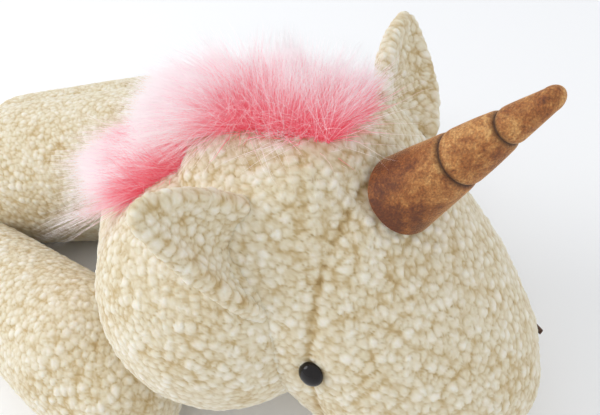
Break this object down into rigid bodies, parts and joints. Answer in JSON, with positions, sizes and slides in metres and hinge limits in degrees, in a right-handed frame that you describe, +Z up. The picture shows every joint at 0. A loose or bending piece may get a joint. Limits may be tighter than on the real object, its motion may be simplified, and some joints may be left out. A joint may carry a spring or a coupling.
{
  "type": "plush unicorn",
  "caption": "Stuffed fleece unicorn lying on its belly, with a velvet horn, a long-pile mane and tail, safety eyes, and limbs, ears and head that bend at their seams.",
  "frame": {"origin": "centre of the flat patch of the belly that the unicorn rests on", "axes": "+Z up, -Y the way the trunk faces, so -X is the unicorn's own right side"},
  "size_m": [0.3682, 0.5512, 0.2208],
  "materials": {
    "cream_fleece": "long looped pile with round curls",
    "polyester_filling": "loose white fibre",
    "horn_velvet": "crushed velvet with patches of turned nap",
    "pink_fur": "long straight pile, pale at the tips",
    "pink_backing": "knitted backing",
    "black_eye": "polished",
    "washer_plastic": "moulded",
    "brown_thread": "stitched thread"
  },
  "bodies": {
    "trunk": {"back_panel_left": "cream_fleece", "back_panel_right": "cream_fleece", "belly_panel": "cream_fleece", "trunk_stuffing": "polyester_filling"},
    "neck": {"mane_backing_neck": "pink_backing", "mane_fur_neck": "pink_fur", "neck_panel_left": "cream_fleece", "neck_panel_right": "cream_fleece", "neck_stuffing": "polyester_filling"},
    "head": {"crown_panel_left": "cream_fleece", "crown_panel_right": "cream_fleece", "eye_left": "black_eye", "eye_right": "black_eye", "eye_washer_left": "washer_plastic", "eye_washer_right": "washer_plastic", "face_panel_left": "cream_fleece", "face_panel_right": "cream_fleece", "head_stuffing": "polyester_filling", "mane_backing_head": "pink_backing", "mane_fur_head": "pink_fur", "nostril_stitch_left": "brown_thread", "nostril_stitch_right": "brown_thread"},
    "horn": {"horn_cover": "horn_velvet", "horn_stuffing": "polyester_filling", "horn_thread": "brown_thread"},
    "ear_right": {"ear_right_back": "cream_fleece", "ear_right_front": "cream_fleece"},
    "ear_left": {"ear_left_back": "cream_fleece", "ear_left_front": "cream_fleece"},
    "tail": {"tail_core": "cream_fleece", "tail_fur": "pink_fur"},
    "leg_front_right": {"leg_front_right_panel_a": "cream_fleece", "leg_front_right_panel_b": "cream_fleece", "leg_front_right_stuffing": "polyester_filling"},
    "leg_front_left": {"leg_front_left_panel_a": "cream_fleece", "leg_front_left_panel_b": "cream_fleece", "leg_front_left_stuffing": "polyester_filling"},
    "leg_hind_right": {"leg_hind_right_panel_a": "cream_fleece", "leg_hind_right_panel_b": "cream_fleece", "leg_hind_right_stuffing": "polyester_filling"},
    "leg_hind_left": {"leg_hind_left_panel_a": "cream_fleece", "leg_hind_left_panel_b": "cream_fleece", "leg_hind_left_stuffing": "polyester_filling"}
  },
  "joints": [
    {"name": "neck_turn", "type": "hinge", "parent": "trunk", "child": "neck", "pos_m": [-0.046, -0.014, 0.074], "axis": [0, 0, 1], "range_deg": [-2, 14], "stiffness_Nm_per_rad": 2},
    {"name": "head_nod", "type": "hinge", "parent": "neck", "child": "head", "pos_m": [-0.163, -0.079, 0.103], "axis": [0.805, -0.5905, -0.057], "range_deg": [-10, 8], "stiffness_Nm_per_rad": 6},
    {"name": "horn_lean", "type": "hinge", "parent": "head", "child": "horn", "pos_m": [-0.16752, -0.1679, 0.15691], "axis": [0.805, -0.5905, -0.057], "range_deg": [-7, 7], "stiffness_Nm_per_rad": 1},
    {"name": "ear_flop_right", "type": "hinge", "parent": "head", "child": "ear_right", "pos_m": [-0.2001, -0.10644, 0.16531], "axis": [-0.775, 0.411, -0.4801], "range_deg": [-12, 14], "stiffness_Nm_per_rad": 0.3},
    {"name": "ear_flop_left", "type": "hinge", "parent": "head", "child": "ear_left", "pos_m": [-0.09062, -0.18674, 0.15756], "axis": [0.5762, -0.5801, -0.5757], "range_deg": [-12, 14], "stiffness_Nm_per_rad": 0.3},
    {"name": "tail_swing", "type": "hinge", "parent": "trunk", "child": "tail", "pos_m": [0, 0.202, 0.072], "axis": [0, 0, 1], "range_deg": [-25, 25], "stiffness_Nm_per_rad": 0.3},
    {"name": "leg_swing_front_right", "type": "hinge", "parent": "trunk", "child": "leg_front_right", "pos_m": [-0.008, -0.074, 0.036], "axis": [0, 0, 1], "range_deg": [-14, 4], "stiffness_Nm_per_rad": 1.5},
    {"name": "leg_swing_front_left", "type": "hinge", "parent": "trunk", "child": "leg_front_left", "pos_m": [0.06, -0.038, 0.036], "axis": [0, 0, 1], "range_deg": [0, 16], "stiffness_Nm_per_rad": 1.5},
    {"name": "leg_swing_hind_right", "type": "hinge", "parent": "trunk", "child": "leg_hind_right", "pos_m": [-0.082, 0.15, 0.037], "axis": [0, 0, 1], "range_deg": [-32, 0], "stiffness_Nm_per_rad": 1.5},
    {"name": "leg_swing_hind_left", "type": "hinge", "parent": "trunk", "child": "leg_hind_left", "pos_m": [0.06, 0.15, 0.043], "axis": [0, 0, 1], "range_deg": [-2, 22], "stiffness_Nm_per_rad": 1.5}
  ]
}
